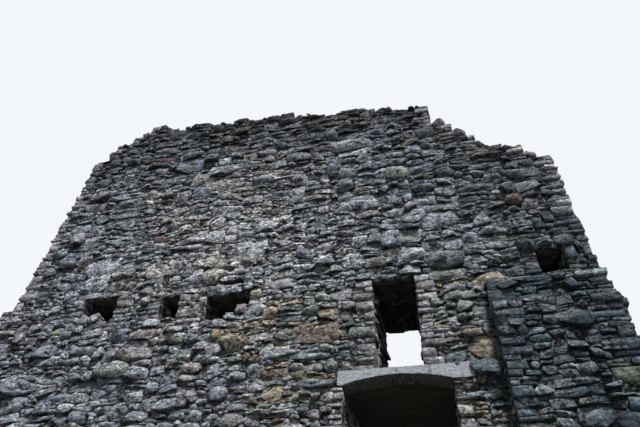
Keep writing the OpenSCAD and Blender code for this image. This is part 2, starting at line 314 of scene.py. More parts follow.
def stone_finish(name, lichen_share, vein_share, moss_share, crust_share=0.0):
    """Broken field stone in the colour that each stone carries, with the painted shade and
    highlight of its corners.
    """
    s, finish = new_finish(name)
    tint = s.carried("tint", "Color")
    # face carries each corner's painted shade and painted highlight
    face = s.carried("tint", "Alpha")
    rough = s.carried("rough", "Fac")
    cloud = s.noise(3.0, 5.0, 0.6)
    mottle = s.noise(16.0, 7.0, 0.8)
    grain = s.noise(48.0, 3.0, 0.7)
    bend = s.node("ShaderNodeTexNoise", {}, {"Vector": s.place, "Scale": 8.0, "Detail": 3.0},
                  "Color")
    bent = s.node("ShaderNodeVectorMath", {"operation": "MULTIPLY_ADD"}, {
        0: bend, 1: (0.14, 0.14, 0.14), 2: s.place})
    flakes = s.stretched(bent, (9.5, 9.5, 15.0))
    # tone: a lightness for each flake of the stone, partly its own colour, partly painted light
    # and shade on its broken facets
    tone = s.part(s.cells(flakes, "Color"), 0)
    facet = s.cells(flakes, "Distance", distance="MANHATTAN")
    split = abs(s.noise(5.0, 3.0, 0.6, (1.0, 1.0, 3.4), 0.9) - 0.5).step(0.0, 0.016)
    crumple = 0.4 + rough * 0.6
    # relief: random mottle, tone and grain of the stone, partly painted light and shade on its
    # broken facets
    relief = (mottle - 0.5) * 13.0 + (tone - 0.5) * 2.4 + (grain - 0.5) * 5.0
    light = 1.42 + (cloud - 0.5) * 0.4 + relief * crumple
    # pit: small flat flecks, sunk in the bump and darkened as their painted shadow
    pit = 1.0 - (1.0 - s.noise(17.0, 4.0, 0.7, (1.0, 1.0, 1.9)).step(0.35, 0.45)) * crumple * 0.8
    colour = s.scaled(tint, light.least(0.06) * (0.3 + split * 0.7) * pit)
    rust = s.noise(3.1, 5.0, 0.65, (1.0, 1.0, 1.6)).step(0.6, 0.72)
    colour = s.blend(rust * 0.35, colour, linear(96, 84, 74))
    patch = s.noise(23.0, 5.0, 0.75).step(0.67 - lichen_share, 0.74 - lichen_share)
    colour = s.blend(patch * 0.65, colour, finish.lichen)
    line = 1.0 - abs(s.noise(7.0, 6.0, 0.72, (1.0, 1.0, 1.3), 0.6) - 0.5).step(0.014, 0.05)
    low = 1.0 - s.part(s.place, 2).step(6.6, 8.4) * 0.6
    smear = line * s.noise(1.9, 3.0).step(0.36, 0.56) * rough * low * 0.7
    colour = s.blend(smear, colour, linear(188, 188, 188))
    if vein_share:
        thread = abs(s.noise(3.4, 3.0, 0.5, (1.6, 1.6, 0.8), 1.5) - 0.5)
        vein = (1.0 - thread.step(0.006, 0.024)) * s.noise(1.7, 2.0).step(0.5, 0.6)
        colour = s.blend(vein * vein_share, colour, linear(206, 208, 208))
    if moss_share:
        growth = s.noise(5.0, 6.0, 0.7).step(0.5, 0.66) * moss_share
        colour = s.blend(growth, colour, finish.moss)
    if crust_share:
        crust = s.lime() * (1.0 - s.part(s.place, 2).step(9.0, 11.4))
        # Lime crust over a stone's edge lifts its painted shade there
        crust = crust * (1.0 - face).least(0.0) * crust_share
        plaster = s.scaled(tuple(finish.mortar), (1.3 + (mottle - 0.5) * 12.0) * pit)
        colour = s.blend(crust, colour, plaster)
        face = face + crust
    # The painted shade darkens each stone's foot and underside, the painted highlight lights its
    # top
    colour = s.scaled(colour, 0.06 + face * 0.94)
    height = (mottle * 1.4 - facet * 0.9 + tone * 0.4) * crumple + split * 0.25 + pit * 0.35
    return s.finish(colour, 0.8 + mottle * 0.2, height, 0.085)


def mortar_finish(name, colour):
    """Lime mortar with stones' spalls in it, painted nearly black where it is washed out, as shade
    in the deep joints.
    """
    s, _ = new_finish(name)
    cloud = s.noise(1.3, 5.0, 0.6)
    grit = s.cells(s.place, "Distance", 30.0)
    lump = s.noise(16.0, 7.0, 0.74)
    # pocket is 1 where the lime has held and the mortar stays pale
    pocket = s.lime()
    across, upward = s.part(s.place, 0), s.part(s.place, 2)
    head = upward.step(LEDGE_Z + 2.4, LEDGE_Z + 4.6)
    whole = upward.step(LEDGE_Z - 2.2, LEDGE_Z + 0.2) * (1.0 - head)
    whole = whole * (1.0 - across.step(0.4, 2.6)) * across.step(-4.6, -2.6)
    light = 1.4 + (cloud - 0.5) * 0.8 + (lump - 0.5) * 12.0 + whole * 0.4
    # Where the lime has washed out, the mortar is painted nearly black: painted shade in the deep
    # joints
    light = light.least(0.08) * (0.02 + (pocket + whole * 0.08) * 0.64) * (1.0 - head * 0.55)
    height = lump * 1.6 - grit * 0.4 + pocket * 0.6
    return s.finish(s.scaled(colour, light), 0.95, height, 0.06)


def dressed_finish():
    """Pale dressed stone with tool marks, dark drips and rubbed edges."""
    s, _ = new_finish("dressed_stone")
    cloud = s.noise(4.0, 5.0, 0.6)
    tooling = s.noise(60.0, 2.0, 0.5, (1.0, 1.0, 0.16))
    speck = s.noise(90.0, 3.0, 0.7)
    drip = s.noise(11.0, 4.0, 0.6, (1.0, 1.0, 0.35)).step(0.55, 0.72)
    pit = s.noise(26.0, 6.0, 0.75)
    colour = s.scaled(s.carried("tint", "Color"),
                      0.55 + cloud * 0.4 + speck * 0.25 + (pit - 0.5) * 1.6)
    colour = s.blend(drip * 0.6, colour, linear(84, 88, 86))
    height = tooling * 0.3 + speck * 0.3 + cloud * 0.6 + pit * 1.6
    return s.finish(colour, 0.8, height, 0.016)


def slab_finish(name, film):
    """Split slabs with a green-brown film."""
    s, finish = new_finish(name)
    cloud = s.noise(5.0, 5.0, 0.6)
    leaf = s.noise(14.0, 5.0, 0.6, (1.0, 1.0, 4.0))
    grain = s.noise(90.0, 3.0)
    colour = s.scaled(s.carried("tint", "Color"), 0.5 + cloud * 0.6 + leaf * 0.4)
    colour = s.blend(cloud.step(0.5, 0.7) * film, colour, finish.moss)
    height = leaf * 0.9 + grain * 0.15 + cloud * 0.4
    return s.finish(colour, 0.82 + cloud * 0.12, height, 0.012)


def vault_finish():
    """Thin stones of the vault set on edge, in mortar."""
    s, finish = new_finish("vault_stones")
    place = s.stretched(s.place, (7.0, 2.6, 7.0))
    inside = s.cells(place, "Distance", feature="DISTANCE_TO_EDGE").step(0.02, 0.09)
    tone = s.part(s.cells(place, "Color"), 0)
    mottle = s.noise(24.0, 5.0, 0.65)
    stone = s.scaled(linear(122, 122, 118), 0.45 + tone * 0.6 + mottle * 0.35)
    colour = s.blend(inside, finish.mortar, stone)
    return s.finish(colour, 0.9, inside * 1.2 + mottle * 0.4, 0.03)


class Chance:
    """All random draws, from one seed and in one order."""

    def __init__(self, seed):
        self.draw = np.random.default_rng(seed)

    def spread(self, low, high, size=None):
        """Values spread evenly between two others."""
        return self.draw.uniform(low, high, size)

    def around(self, middle, share, size=None):
        """Positive values around a middle, some of them much larger."""
        return middle * np.exp(self.draw.normal(0.0, share, size))

    def tints(self, palette, count):
        """One colour for each stone, from a palette, each a little off."""
        shares = np.array([share for share, *_ in PALETTES[palette]])
        colours = np.array([linear(*colour) for _, *colour in PALETTES[palette]])
        grey = colours.mean(1, keepdims=True)
        colours = grey + RICHNESS[palette] * (colours - grey)
        picked = colours[self.draw.choice(len(colours), count, p=shares / shares.sum())]
        return picked * self.around(1.1, 0.09, (count, 1)) * self.around(1.0, 0.02, (count, 3))


class Face:
    """One flat side of the walls as a grid of cells that still want stones.

    Faces that look along X run along Y, those that look along Y or Z run along X.
    """

    def __init__(self, axis, sign, offset):
        self.axis = axis
        self.sign = sign
        self.offset = offset
        self.rows = ACROSS if axis == 2 else UPWARD
        self.base = -REACH if axis == 2 else 0.0
        self.mask = np.zeros((self.rows, ACROSS), bool)

    def cover(self, triangle):
        """Marks the cells whose middle lies in a triangle."""
        corner = (-REACH, self.base)
        low = np.maximum(np.floor((triangle.min(0) - corner) / CELL).astype(int), 0)
        high = np.ceil((triangle.max(0) - corner) / CELL).astype(int)
        high = np.minimum(high, (ACROSS, self.rows))
        run, rise = np.meshgrid((np.arange(low[0], high[0]) + 0.5) * CELL - REACH,
                                (np.arange(low[1], high[1]) + 0.5) * CELL + self.base)
        sides = np.array([
            (end[0] - start[0]) * (rise - start[1]) - (end[1] - start[1]) * (run - start[0])
            for start, end in zip(triangle, np.roll(triangle, -1, 0))])
        inside = (sides >= -1e-7).all(0) | (sides <= 1e-7).all(0)
        self.mask[low[1]:high[1], low[0]:high[0]] |= inside

    def world(self, run, rise, out):
        """Points of the keep from places on this face."""
        depth = self.offset + self.sign * out
        order = {0: (depth, run, rise), 1: (run, depth, rise), 2: (run, rise, depth)}
        return np.stack(order[self.axis], -1)

    def turned(self):
        """Whether counter-clockwise outlines look into the wall here."""
        return (self.axis == 1) == (self.sign > 0)

    def area(self):
        """How much of the face still wants stones."""
        return float(self.mask.sum()) * CELL * CELL


def column_of(run):
    """The grid's column at a place, or its row at one from front to back."""
    return int(math.floor((run + REACH) / CELL + 1e-6))


def columns_of(run, edge=0):
    """The grid's columns at many places, kept off its ends."""
    return np.clip(((run + REACH) / CELL).astype(int), edge, ACROSS - 1 - edge)


def wall_faces():
    """All flat visible sides of the rough walls, without those that touch another piece."""
    faces = {}
    solid = {}
    for name in sorted(NODES):
        smooth = name.startswith(("vault", "floor", "door"))
        mesh = NODES[name].data
        mesh.calc_loop_triangles()
        points = np.array([v.co for v in mesh.vertices], float)
        triangles = points[np.array([t.vertices for t in mesh.loop_triangles], int)]
        normals = np.cross(triangles[:, 1] - triangles[:, 0], triangles[:, 2] - triangles[:, 0])
        sizes = np.linalg.norm(normals, axis=1)
        normals = normals / np.maximum(sizes, 1e-12)[:, None]
        for axis in range(3):
            flat = [other for other in range(3) if other != axis]
            for index in np.where((abs(normals[:, axis]) > 0.9999) & (sizes > 1e-8))[0]:
                sign = 1 if normals[index, axis] > 0 else -1
                key = (axis, sign, round(float(triangles[index, 0, axis]), 3))
                for group in (solid,) if smooth else (solid, faces):
                    if key not in group:
                        group[key] = Face(*key)
                    group[key].cover(triangles[index][:, flat])
    for (axis, sign, offset), face in faces.items():
        other = solid.get((axis, -sign, offset))
        if other is not None:
            face.mask &= ~other.mask
        if axis != 2 and 0.2 < abs(offset) < ROOM_SIDE:
            face.mask[:int(FLOOR_Z / CELL)] = False
    return faces


def runs(flags, least):
    """Start and end of each stretch of true values at least so long."""
    edges = np.flatnonzero(np.diff(np.concatenate([[0], flags.astype(int), [0]])))
    return [(a, b) for a, b in zip(edges[::2], edges[1::2]) if b - a >= least]


def lay(mask, chance, sizes):
    """Lays stones from the bottom up, each on the lowest free place.

    sizes gives the typical height and share of length for a place. Returns left, bottom,
    width and height of each stone, in cells.
    """
    rows, columns = mask.shape
    start = np.full((rows + 1, columns), rows, int)
    stop = np.full((rows + 1, columns), rows, int)
    for r in range(rows - 1, -1, -1):
        start[r] = np.where(mask[r], r, start[r + 1])
        stop[r] = np.where(mask[r], stop[r + 1], r)
    top = start[0].copy()
    stones = []
    while True:
        left = int(top.argmin())
        low = int(top[left])
        if low >= rows:
            return np.array(stones, int).reshape(-1, 4)
        same = top[left:] == low
        gap = len(same) if same.all() else int(same.argmin())
        tall, share = sizes(left, low)
        h = float(np.clip(chance.around(tall, 0.5), 0.04, 1.8 * tall))
        long = float(np.clip(chance.around(share * (tall / h) ** 0.5, 0.36), 0.9, 7.0))
        w = min(h * long, 0.74)
        h = max(2, round(h / CELL))
        w = max(3, round(w / CELL))
        if gap - w < 4:
            w = gap if gap < 1.6 * w else gap // 2
        w = min(w, gap)
        free = int((stop[low, left:left + w] - low).min())
        neighbours = [int(top[i]) for i in (left - 1, left + w) if 0 <= i < columns]
        if w < 3:
            rise = max(1, min(min(neighbours, default=rows), rows) - low)
            top[left:left + w] = start[min(low + rise, rows), left:left + w]
            continue
        h = min(h, free, max(3, int(1.1 * w)))
        for beside in neighbours:
            if 1 < beside - low <= free and abs(low + h - beside) <= 1:
                h = beside - low
                break
        if 0 < free - h < 3:
            h = free
        stones.append((left, low, w, h))
        top[left:left + w] = start[low + h, left:left + w]


def split_slates(cells, share, chance):
    """Splits some stones into two thin ones."""
    whole = []
    for left, low, w, h in cells:
        if h >= 5 and chance.spread(0, 1) < share:
            part = int(chance.draw.integers(2, h - 1))
            whole.append((left, low, w, part))
            low, h = low + part, h - part
        whole.append((left, low, w, h))
    return np.array(whole, int).reshape(-1, 4)


def link(name, data):
    """A new object in the scene, at its origin."""
    made = bpy.data.objects.new(name, data)
    bpy.context.scene.collection.objects.link(made)
    return made


def keep_piece(name, mesh, material):
    """A piece that rides on the keep."""
    mesh.materials.append(material)
    made = link(name, mesh)
    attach(made, "root")
    return made


class Stones:
    """Meshes of many stones, gathered as arrays and made into one piece."""

    def __init__(self):
        self.points, self.tints, self.rough, self.quads, self.triangles = ([] for _ in range(5))
        self.count = 0

    def add(self, points, tints, shade, rough, quads, triangles):
        """Adds stones of one build: points (stones, corners, 3) and faces by corner.

        Each stone has a colour and a roughness, and shade scales its colour at each corner:
        painted shade and painted highlight.
        """
        stones, corners = points.shape[:2]
        colours = np.empty((stones, corners, 4))
        colours[:, :, :3] = tints[:, None]
        colours[:, :, 3] = shade
        shift = self.count + np.arange(stones)[:, None, None] * corners
        self.points.append(points.reshape(-1, 3))
        self.tints.append(colours.reshape(-1, 4))
        self.rough.append(np.repeat(rough, corners))
        self.quads.append((shift + quads[None]).reshape(-1, 4))
        self.triangles.append((shift + triangles[None]).reshape(-1, 3))
        self.count += stones * corners

    def piece(self, name, material, slot="wall_rubble"):
        """Makes the piece and lets it ride on the keep."""
        points, tints, rough, quads, triangles = (np.concatenate(parts) for parts in (
            self.points, self.tints, self.rough, self.quads, self.triangles))
        mesh = bpy.data.meshes.new(name)
        mesh.vertices.add(len(points))
        mesh.vertices.foreach_set("co", points.astype(np.float32).ravel())
        mesh.loops.add(quads.size + triangles.size)
        mesh.loops.foreach_set("vertex_index", np.concatenate(
            [quads.ravel(), triangles.ravel()]).astype(np.int32))
        starts = np.concatenate([np.arange(len(quads)) * 4,
                                 quads.size + np.arange(len(triangles)) * 3])
        mesh.polygons.add(len(starts))
        mesh.polygons.foreach_set("loop_start", starts.astype(np.int32))
        mesh.update(calc_edges=True)
        mesh.color_attributes.new("tint", "FLOAT_COLOR", "POINT").data.foreach_set(
            "color", tints.astype(np.float32).ravel())
        mesh.attributes.new("rough", "FLOAT", "POINT").data.foreach_set(
            "value", rough.astype(np.float32))
        keep_piece(name, mesh, material)


def warp(run, rise):
    """Waves that take the ruler out of the courses and the square out of the stones."""
    along = (0.011 * np.sin(5.1 * run + 3.9 * rise + 0.4) + 0.010 * np.sin(11.3 * run - 9.7 * rise)
             + 0.006 * np.sin(23.0 * rise + 7.0 * run + 1.7))
    up = (0.018 * np.sin(1.7 * run - 0.6 * rise + 2.0) + 0.013 * np.sin(6.9 * run + 3.3 * rise)
          + 0.008 * np.sin(15.0 * run - 6.0 * rise + 1.0))
    return run + along, rise + up


def rotated(x, y, cos, sin):
    """Places turned about the origin."""
    return x * cos - y * sin, x * sin + y * cos


class Build:
    """How finely stones are made: their corners, rings, relief and raggedness."""

    def __init__(self, sides, rings, rough=1.0, ragged=1.0):
        self.sides = sides
        self.rings = rings
        self.rough = rough
        self.ragged = ragged

    def faces(self, turned):
        """Faces of a stone: a closed shell of rings between its back and its peak."""
        ring = np.arange(self.sides)
        after = (ring + 1) % self.sides
        lows = np.arange(len(self.rings) - 1) * self.sides
        quads = np.concatenate([
            np.stack([low + ring, low + after, high + after, high + ring], 1)
            for low, high in zip(lows, lows + self.sides)])
        peak = len(self.rings) * self.sides
        top = peak - self.sides
        triangles = np.concatenate([
            np.stack([top + ring, top + after, np.full(self.sides, peak)], 1),
            np.stack([after, ring, np.full(self.sides, peak + 1)], 1)])
        return (quads[:, ::-1], triangles[:, ::-1]) if turned else (quads, triangles)


# Each ring's share of the outline, the first two being the foot and the rim
FINE = Build(10, (1.0, 1.0, 0.88, 0.62, 0.34))
EVEN = Build(8, (1.0, 1.0, 0.88, 0.6, 0.3))
PLAIN = Build(8, (1.0, 1.0, 0.74))
SPLIT = Build(8, (1.0, 1.0, 0.86), 0.35, 0.5)
CHIP = Build(6, (1.0, 1.0, 0.6), 1.2, 1.3)


def outline(build, w, h, chance):
    """Eight or six corners of ragged stones of width w and height h around their middle."""
    count = len(w)
    small = np.minimum(w, h)
    deep = chance.spread(0, 1, (count, 4)) < 0.36 * build.ragged

    def trimmed(size, wide, narrow):
        """How far each corner is cut off along one side."""
        trim = np.where(deep, chance.spread(*wide, (count, 4)), chance.spread(*narrow, (count, 4)))
        return np.minimum(trim * small[:, None], 0.44 * size[:, None]).T

    along = trimmed(w, (0.25, 1.0), (0.03, 0.16))
    up = trimmed(h, (0.2, 0.75), (0.03, 0.14))
    a, b = w / 2, h / 2
    x = np.stack([-a + along[0], a - along[1], a, a, a - along[2], -a + along[3], -a, -a], 1)
    y = np.stack([-b, -b, -b + up[1], b - up[2], b, b, b - up[3], -b + up[0]], 1)
    if build.sides == 6:
        x, y = np.delete(x, (2, 6), 1), np.delete(y, (2, 6), 1)
    shake = 0.1 * build.ragged * small[:, None]
    x = x + chance.spread(-1, 1, x.shape) * shake
    y = y + chance.spread(-1, 1, y.shape) * shake
    turn = chance.draw.normal(0.0, 0.08 * build.ragged, count) * np.clip(0.25 / w, 0.4, 2.2)
    return rotated(x, y, np.cos(turn)[:, None], np.sin(turn)[:, None])


def straightened(angle, reach, chance):
    """Outlines with straight edges and sharp corners, from reaches at rising angles.

    A line lies across every second reach, and the corners are where those lines meet,
    kept near the reach between them.
    """
    lean = angle[:, ::2] + chance.draw.normal(0.0, 0.2, angle[:, ::2].shape)
    c, s = np.cos(lean), np.sin(lean)
    edge_x = reach[:, ::2] * np.cos(angle[:, ::2])
    edge_y = reach[:, ::2] * np.sin(angle[:, ::2])
    away = edge_x * c + edge_y * s
    next_c, next_s, next_away = (np.roll(v, -1, 1) for v in (c, s, away))
    cross = c * next_s - s * next_c
    cross = np.where(abs(cross) < 0.15, 0.15, cross)
    corner_x = (away * next_s - next_away * s) / cross
    corner_y = (next_away * c - away * next_c) / cross
    far = np.hypot(corner_x, corner_y)
    near = reach[:, 1::2]
    kept = np.clip(far, 0.72 * near, 1.16 * near)
    corner_x, corner_y = (
        kept * np.where(far > 0.2 * near, corner / np.maximum(far, 1e-6), way(angle[:, 1::2]))
        for corner, way in ((corner_x, np.cos), (corner_y, np.sin)))
    return tuple(np.stack(pair, 2).reshape(len(angle), -1)
                 for pair in ((edge_x, corner_x), (edge_y, corner_y)))


def fitted(face, cells, sides, joint, chance):
    """Outlines of stones that fit each other.

    Each stone grows from the middle of its cell, faster where it is long, until it meets
    a neighbour or the end of the wall. Returns its middle and its corners around that.
    """
    count = len(cells)
    size = cells[:, 2:] * CELL
    middle = cells[:, :2] * CELL + size * (0.5 + chance.spread(-0.13, 0.13, (count, 2)))
    half = size / 2 * chance.around(1.0, 0.14, (count, 1))
    turn = chance.draw.normal(0.0, 1.0, count)
    turn = turn * (0.09 + 0.45 * np.clip(1.8 - size[:, 0] / size[:, 1], 0, 1))
    square = chance.spread(2.4, 7.0, count)
    cos, sin = np.cos(turn), np.sin(turn)
    tree = KDTree(count)
    for number, (x, y) in enumerate(middle):
        tree.insert((x, y, 0.0), number)
    tree.balance()
    crowd = min(17, count)
    near = np.array([[number for _, number, _ in tree.find_n((x, y, 0.0), crowd)]
                     for x, y in middle])
    angle = (np.arange(sides) + chance.spread(-0.3, 0.3, (count, sides))) * 2 * math.pi / sides
    way_x, way_y = rotated(half[:, :1] * np.cos(angle), half[:, 1:] * np.sin(angle),
                           cos[:, None], sin[:, None])
    power = square[:, None]
    pace = (abs(np.cos(angle)) ** power + abs(np.sin(angle)) ** power) ** (-1 / power)
    grown = np.linspace(0.3, 1.36, 16)
    length = grown * pace[:, :, None]
    x = middle[:, 0, None, None] + way_x[:, :, None] * length
    y = middle[:, 1, None, None] + way_y[:, :, None] * length
    room = np.full(x.shape, 9.0)
    for other in near[:, 1:].T:
        far_x, far_y = (at - middle[other, i, None, None] for i, at in enumerate((x, y)))
        c, s = cos[other, None, None], sin[other, None, None]
        u = abs(far_x * c + far_y * s) / half[other, 0, None, None]
        v = abs(far_y * c - far_x * s) / half[other, 1, None, None]
        power = square[other, None, None]
        room = np.minimum(room, (u ** power + v ** power) ** (1 / power))
    column = np.clip((x / CELL).astype(int), 0, ACROSS - 1)
    row = np.clip((y / CELL).astype(int), 0, face.rows - 1)
    room = np.where(face.mask[row, column], room, grown - 0.1)
    slack = np.concatenate([room - grown, np.full(x.shape[:2] + (1,), -0.01)], 2)
    stop = np.maximum((slack <= 0).argmax(2), 1)[:, :, None]
    ahead = np.take_along_axis(slack, stop - 1, 2)[:, :, 0]
    past = np.take_along_axis(slack, stop, 2)[:, :, 0]
    share = np.clip(ahead / np.maximum(ahead - past, 1e-6), 0, 1)
    reach = (grown[stop[:, :, 0] - 1] + share * (grown[1] - grown[0])) * pace
    gap = chance.around(0.5 * joint, 0.5, (count, 1))
    reach = reach * np.maximum(1 - gap / np.maximum(np.hypot(way_x, way_y) * reach, 1e-6), 0.6)
    x, y = straightened(angle, reach, chance)
    return middle, rotated(x * half[:, :1], y * half[:, 1:], cos[:, None], sin[:, None])


def shells(stones, face, middle_x, middle_y, w, h, tints, proud, chance, build, edges=None):
    """Adds stones with broken faces: a few tilted planes cut every face."""
    count = len(w)
    if count == 0:
        return
    edge_x, edge_y = edges or outline(build, w, h, chance)
    beside = (middle_x > -0.3) & (middle_x < PIER_LEFT) & (middle_y < BESIDE_DOOR_Z)
    rough = chance.spread(0, 1, count) ** np.where(beside, 0.8, 0.35)
    out = chance.around(proud, 0.4, count) * np.sqrt(np.minimum(w, h) / 0.15)
    out = np.clip(np.where(chance.spread(0, 1, count) < 0.06, out * 0.4, out), 0.014, 0.11)
    lean = chance.spread(0, 1, (count, 2)) * (0.3, 0.4) + (-0.15, 0.12)
    toward = chance.spread(-math.pi, math.pi, (count, 4))
    steep = chance.spread(0.3, 1.2, (count, 4)) * build.rough
    cos, sin = np.cos(toward), np.sin(toward)
    starts = chance.spread(0.1, 0.75, (count, 4)) * (abs(cos) * w[:, None] + abs(sin) * h[:, None])
    starts *= 0.42

    def broken(x, y):
        """Height of the face where its planes meet."""
        height = out[:, None] - lean[:, :1] * x - lean[:, 1:] * y
        for side in range(4):
            along = x * cos[:, side, None] + y * sin[:, side, None]
            cut = out[:, None] + steep[:, side, None] * (starts[:, side, None] - along)
            height = np.minimum(height, cut)
        return np.maximum(height, 0.15 * out[:, None])

    rings = []
    shade = []
    for level, share in enumerate(build.rings):
        inset = share if level < 2 else share * chance.spread(0.86, 1.1, edge_x.shape)
        x, y = edge_x * inset, edge_y * inset
        above = np.clip(y / (h / 2)[:, None], -1, 1)
        if level == 0:
            z = np.full(x.shape, -FOOT)
        else:
            rim = np.clip(0.85 - 0.12 * above + chance.spread(-0.2, 0.1, x.shape), 0.2, 1.0)
            z = broken(x, y) * (rim if level == 1 else 1.0)
            z = z + chance.spread(-1, 1, x.shape) * 0.004 * level * rough[:, None]
        rings.append((x, y, z))
        # Painted shade and painted highlight: a corner's colour is darker the lower it lies on the
        # stone, darkest at the foot and under the stone, lightest along its top
        middling, swing = ((0.02, 0.12), (0.48, 0.86), (0.97, 0.3))[min(level, 2)]
        shade.append(np.clip(middling + swing * above, 0.0, 1.45))
    off_x = chance.spread(-0.2, 0.2, (count, 1)) * w[:, None]
    off_y = chance.spread(-0.2, 0.2, (count, 1)) * h[:, None]
    peak = (off_x, off_y, broken(off_x, off_y) * chance.spread(1.0, 1.18, (count, 1)))
    zero = np.zeros((count, 1))
    x, y, z = (np.concatenate(parts, 1) for parts in zip(*rings, peak, (zero, zero, zero - FOOT)))
    x, y = warp(x + middle_x[:, None], y + middle_y[:, None])
    if face.axis != 2:
        y = np.maximum(y, 0.004 + 0.0006 * (np.arange(y.shape[1]) % 3))
    shade = np.concatenate([*shade, zero + 1.0, zero + 0.3], 1)
    stones.add(face.world(x, y, z), tints, shade, rough, *build.faces(face.turned()))


def plates(stones, face, cells, tints, proud, joint, chance, build=PLAIN):
    """Turns laid cells into stones with joints between them."""
    left, low, w, h = (cells[:, i].astype(float) * CELL for i in range(4))
    if face.axis != 2 and len(cells) > 1:
        middle, edges = fitted(face, cells, build.sides, joint, chance)
        shells(stones, face, middle[:, 0] - REACH, middle[:, 1], w, h, tints, proud, chance,
               build, edges)
        return
    gap_x = chance.around(joint, 0.5, len(cells))
    gap_y = chance.around(1.3 * joint, 0.5, len(cells))
    shells(stones, face, left - REACH + w / 2, low + face.base + h / 2,
           np.maximum(w - gap_x, 0.5 * w), np.maximum(h - gap_y, 0.5 * h), tints, proud,
           chance, build)


def chips(stones, face, cells, tints, share, chance):
    """Pinnings: small flat stones pressed into the joints at the corners of others."""
    picked = np.flatnonzero(chance.spread(0, 1, len(cells)) < share)
    count = len(picked)
    corner = chance.draw.integers(0, 4, count)
    left, low, w, h = (cells[picked, i] * CELL for i in range(4))
    x = left + np.where(corner % 2 == 0, 0.0, w) + chance.spread(-0.03, 0.03, count) - REACH
    y = low + np.where(corner < 2, 0.0, h) + chance.spread(-0.01, 0.01, count) + face.base
    column = columns_of(x, 3)
    row = np.clip(((y - face.base) / CELL).astype(int), 3, face.rows - 4)
    solid = np.all([face.mask[row + up, column + side] for up in (-3, 2) for side in (-3, 3)], 0)
    x, y, picked = x[solid], y[solid], picked[solid]
    count = len(picked)
    w, h = chance.spread(0.05, 0.19, count), chance.spread(0.025, 0.075, count)
    tints = tints[chance.draw.permutation(picked)] * chance.spread(0.7, 1.15, (count, 1))
    shells(stones, face, x, y, w, h, tints, 0.03, chance, CHIP)


def block_template():
    """Corners and faces of a block with all its edges cut."""
    signs = list(itertools.product((-1, 1), repeat=3))
    corner = np.repeat(np.array(signs, float), 3, 0)
    onto = np.tile(np.arange(3), len(signs))

    def ordered(members):
        """Members in counter-clockwise order seen from outside."""
        spots = corner[members] * np.where(onto[members][:, None] == np.arange(3), 1.0, 0.7)
        middle = spots.mean(0)
        normal = middle / np.linalg.norm(middle)
        side = np.cross(normal, spots[0] - middle)
        angles = np.arctan2((spots - middle) @ side,
                            (spots - middle) @ np.cross(side, normal))
        return [members[i] for i in np.argsort(angles)]

    flats = [[i for i in range(24) if onto[i] == axis and corner[i, axis] == sign]
             for axis in range(3) for sign in (-1, 1)]
    edges = [[i for i in range(24) if onto[i] in pair and tuple(corner[i, list(pair)]) == ends]
             for pair in ((0, 1), (0, 2), (1, 2)) for ends in itertools.product((-1, 1), repeat=2)]
    quads = np.array([ordered(members) for members in flats + edges])
    triangles = np.array([ordered([3 * number + i for i in range(3)]) for number in range(8)])
    return corner, onto, quads, triangles


BLOCK = block_template()


def ball_template():
    """Corners and triangles of a ball of 42 corners."""
    mesh = bmesh.new()
    bmesh.ops.create_icosphere(mesh, subdivisions=2, radius=1.0)
    corners = np.array([v.co for v in mesh.verts])
    triangles = np.array([[v.index for v in f.verts] for f in mesh.faces])
    mesh.free()
    return corners, triangles


BALL = ball_template()


def cut_flat(points, times, near, far, chance, halves=None):
    """Cuts stones flat by chance planes, from near to far away as a share of their size."""
    count = len(points)
    for _ in range(times):
        normal = chance.draw.normal(size=(count, 1, 3))
        normal /= np.linalg.norm(normal, axis=2, keepdims=True)
        reach = chance.spread(near, far, (count, 1, 1))
        if halves is not None:
            reach = reach * (abs(normal) * halves[:, None]).sum(2, keepdims=True) * 0.85
        points = points - np.maximum((points * normal).sum(2, keepdims=True) - reach, 0) * normal
    return points


def blocks(stones, middles, halves, tints, cut, jitter, chance):
    """Adds irregular squared stones: the quoins."""
    count = len(middles)
    corner, onto, quads, triangles = BLOCK
    small = halves.min(1)
    bend = chance.spread(-1, 1, (count, 8, 3)) * jitter * small[:, None, None]
    trim = chance.around(cut, 0.5, (count, 24)) * small[:, None]
    trim = np.minimum(trim, 0.55 * small[:, None])
    keep_out = np.where(onto[:, None] == np.arange(3), 0.0, 1.0)
    points = corner[None] * (halves[:, None, :] - trim[:, :, None] * keep_out[None])
    points = cut_flat(points + np.repeat(bend, 3, 1), 4, 0.95, 1.35, chance, halves)
    stones.add(points + middles[:, None, :], tints, 0.95, chance.spread(0.1, 0.7, count),
               quads, triangles)


def rocks(stones, middles, halves, tints, chance):
    """Adds loose broken stones: balls cut flat, then stretched and turned."""
    count = len(middles)
    corners, triangles = BALL
    points = cut_flat(np.repeat(corners[None], count, 0), 7, 0.42, 0.8, chance)
    points = points * (1 + chance.spread(-0.05, 0.05, points.shape[:2] + (1,)))
    points = points / abs(points).max(1, keepdims=True) * halves[:, None, :]
    turn = chance.spread(-1.3, 1.3, count)
    lean = chance.spread(-0.25, 0.25, (count, 2))
    x, y = rotated(points[:, :, 0], points[:, :, 1], np.cos(turn)[:, None], np.sin(turn)[:, None])
    z = points[:, :, 2] + x * lean[:, :1] + y * lean[:, 1:]
    stones.add(np.stack([x, y, z], 2) + middles[:, None, :], tints, 0.95,
               chance.spread(0.3, 1.0, count), np.zeros((0, 4), int), triangles)


